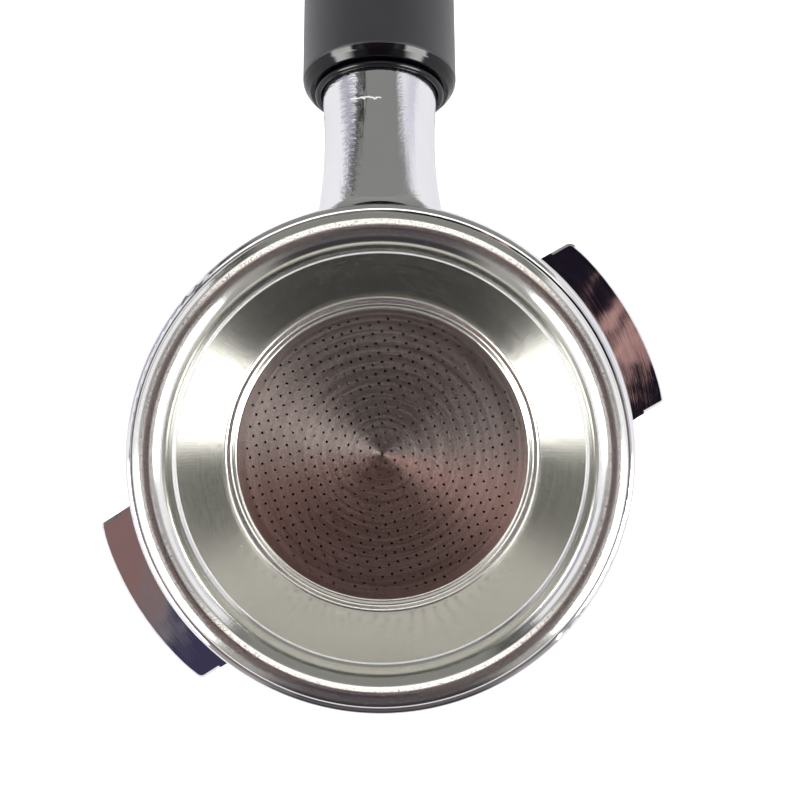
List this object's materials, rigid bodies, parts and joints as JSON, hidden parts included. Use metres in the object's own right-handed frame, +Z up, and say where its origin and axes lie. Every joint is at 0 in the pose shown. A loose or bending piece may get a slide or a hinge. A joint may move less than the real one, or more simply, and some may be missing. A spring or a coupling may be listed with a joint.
{
  "type": "portafilter",
  "caption": "Espresso machine filter holder: chromed bayonet body with a deep perforated basket, a double spout and a sloping black handle.",
  "frame": {"origin": "centre of the basket's rim, on the plane that meets the group's gasket", "axes": "+Z up, out of the basket; +Y along the handle, away from the basket"},
  "size_m": [0.0822, 0.2152, 0.0776],
  "materials": {
    "chrome": "polished chrome plate over brass",
    "basket_steel": "satin pressed stainless steel",
    "spring_steel": "drawn stainless wire",
    "bolt_steel": "zinc plated steel",
    "gasket": "pale fibre gasket",
    "seal_rubber": "smooth black rubber",
    "gloss_black": "polished black plastic",
    "grip_black": "fine matte black plastic"
  },
  "bodies": {
    "holder": {"body_casting": "chrome", "basket_spring": "spring_steel", "handle_seal_ring": "seal_rubber", "handle_ferrule": "gloss_black", "handle_grip": "grip_black", "handle_bolt": "bolt_steel", "bolt_flat_washer": "bolt_steel", "bolt_spring_washer": "spring_steel", "handle_end_cap": "grip_black"},
    "basket": {"filter_basket": "basket_steel"},
    "gasket": {"spout_gasket": "gasket"},
    "spout": {"double_spout": "chrome"}
  },
  "joints": [
    {"name": "basket_lift", "type": "slide", "parent": "holder", "child": "basket", "axis": [0, 0, 1], "range_m": [0, 0.04], "deforming": ["basket_spring"]},
    {"name": "spout_drop", "type": "slide", "parent": "holder", "child": "gasket", "axis": [0, 0, -1], "range_m": [0, 0.00668]},
    {"name": "spout_unscrew", "type": "hinge", "parent": "gasket", "child": "spout", "pos_m": [0, 0, -0.045], "axis": [0, 0, -1], "range_deg": [0, 1800]}
  ],
  "couplings": [
    {"joint": "spout_unscrew", "follows": "spout_drop", "rad_per_m": 4699.5}
  ]
}
